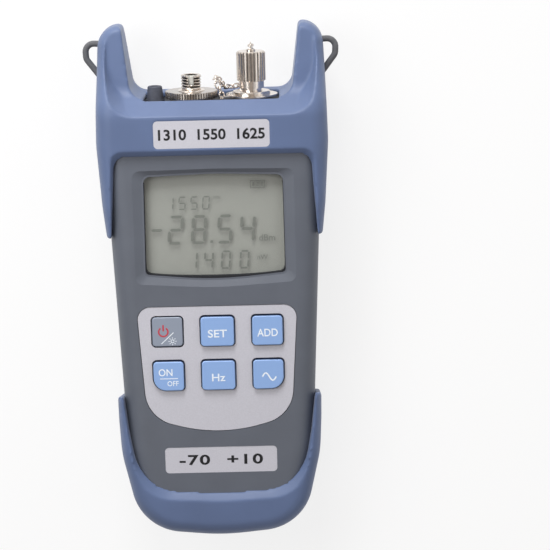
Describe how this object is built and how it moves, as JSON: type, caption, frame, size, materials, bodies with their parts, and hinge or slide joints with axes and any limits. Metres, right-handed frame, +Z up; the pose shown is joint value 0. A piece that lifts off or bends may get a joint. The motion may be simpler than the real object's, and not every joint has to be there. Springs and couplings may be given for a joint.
{
  "type": "optical power meter",
  "caption": "Handheld optical power meter with fault locator: LCD, rubber keypad, horned soft bumper and boot, threaded optical ports, capped port on a chain, battery bay.",
  "frame": {"origin": "under the middle of the meter, on the surface it lies on", "axes": "+X to the right of the keypad, +Y towards the end with the optical ports, +Z up out of the keypad and display"},
  "size_m": [0.0988, 0.2026, 0.0385],
  "materials": {
    "cap_blue": "matte soft-touch",
    "case_grey": "fine spark texture",
    "panel_silver": "satin silver paint",
    "badge_silver": "satin silver",
    "key_blue": "semi gloss",
    "key_silver": "semi gloss",
    "clear_window": "clear",
    "lcd_glass": "satin",
    "black_plastic": "matte",
    "loop_grey": "smooth",
    "backlight_white": "diffuse",
    "zebra_rubber": "matte",
    "switch_metal": "satin",
    "label_film": "matte",
    "screw_steel": "satin",
    "board_green": "solder mask",
    "chip_black": "matte",
    "cell_jacket": "gloss",
    "contact_steel": "nickel plated",
    "nickel": "nickel plated",
    "module_brass": "turned",
    "ceramic_white": "polished",
    "lamp_rubber": "matte",
    "lamp_clear": "clear"
  },
  "bodies": {
    "root": {"top_bumper": "cap_blue", "bottom_boot": "cap_blue", "front_shell": "case_grey", "rear_shell": "case_grey", "rear_label": "label_film", "display_window": "clear_window", "lcd_panel": "lcd_glass", "lcd_frame": "black_plastic", "lcd_connectors": "zebra_rubber", "backlight": "backlight_white", "keypad_panel": "panel_silver", "key_switches": "switch_metal", "upper_plate": "badge_silver", "lower_plate": "badge_silver", "case_screws": "screw_steel", "board_screws": "screw_steel", "main_board": "board_green", "processor": "chip_black", "small_chips": "chip_black", "buzzer": "black_plastic", "battery_1": "cell_jacket", "battery_2": "cell_jacket", "battery_3": "cell_jacket", "contact_springs": "contact_steel", "contact_plates": "contact_steel", "end_plate": "black_plastic", "detector_mount": "nickel", "photodiode": "contact_steel", "source_port": "nickel", "laser_module": "module_brass", "source_nut": "nickel", "chain_washer": "nickel", "cap_chain": "nickel", "lamp_bezel": "lamp_rubber", "lamp_led": "lamp_clear", "strap_loop_left": "loop_grey", "strap_loop_right": "loop_grey"},
    "dust_cap_slide": {"cap_swivel": "nickel"},
    "dust_cap": {"dust_cap": "nickel"},
    "adapter_slide": {"meter_barrel": "nickel", "ferrule_sleeve": "ceramic_white"},
    "adapter_ring": {"adapter_nut": "nickel"},
    "battery_cover": {"battery_door": "case_grey"},
    "key_power_body": {"key_power": "key_silver"},
    "key_reference_body": {"key_reference": "key_blue"},
    "key_store_body": {"key_store": "key_blue"},
    "key_light_body": {"key_light": "key_blue"},
    "key_unit_body": {"key_unit": "key_blue"},
    "key_wavelength_body": {"key_wavelength": "key_blue"}
  },
  "joints": [
    {"name": "key_power_press", "type": "slide", "parent": "root", "child": "key_power_body", "axis": [0, 0, -1], "range_m": [0, 0.0006], "stiffness_N_per_m": 300, "springref_m": -0.001},
    {"name": "key_reference_press", "type": "slide", "parent": "root", "child": "key_reference_body", "axis": [0, 0, -1], "range_m": [0, 0.0006], "stiffness_N_per_m": 300, "springref_m": -0.001},
    {"name": "key_store_press", "type": "slide", "parent": "root", "child": "key_store_body", "axis": [0, 0, -1], "range_m": [0, 0.0006], "stiffness_N_per_m": 300, "springref_m": -0.001},
    {"name": "key_light_press", "type": "slide", "parent": "root", "child": "key_light_body", "axis": [0, 0, -1], "range_m": [0, 0.0006], "stiffness_N_per_m": 300, "springref_m": -0.001},
    {"name": "key_unit_press", "type": "slide", "parent": "root", "child": "key_unit_body", "axis": [0, 0, -1], "range_m": [0, 0.0006], "stiffness_N_per_m": 300, "springref_m": -0.001},
    {"name": "key_wavelength_press", "type": "slide", "parent": "root", "child": "key_wavelength_body", "axis": [0, 0, -1], "range_m": [0, 0.0006], "stiffness_N_per_m": 300, "springref_m": -0.001},
    {"name": "dust_cap_lift", "type": "slide", "parent": "root", "child": "dust_cap_slide", "axis": [0, 1, 0], "range_m": [0, 0.0045], "deforming": ["cap_chain"]},
    {"name": "dust_cap_turn", "type": "hinge", "parent": "dust_cap_slide", "child": "dust_cap", "pos_m": [0.0155, 0.08188, 0.02], "axis": [0, 1, 0], "range_deg": [0, 2165]},
    {"name": "adapter_lift", "type": "slide", "parent": "root", "child": "adapter_slide", "axis": [0, 1, 0], "range_m": [0, 0.00225]},
    {"name": "adapter_turn", "type": "hinge", "parent": "adapter_slide", "child": "adapter_ring", "pos_m": [-0.0078, 0.07438, 0.02], "axis": [0, 1, 0], "range_deg": [0, 1085]},
    {"name": "battery_door_swing", "type": "hinge", "parent": "root", "child": "battery_cover", "pos_m": [0, -0.06812, 0.0025], "axis": [-1, 0, 0], "range_deg": [0, 80]}
  ],
  "couplings": [
    {"joint": "dust_cap_turn", "follows": "dust_cap_lift", "rad_per_m": 8377.6},
    {"joint": "adapter_turn", "follows": "adapter_lift", "rad_per_m": 8377.6}
  ]
}
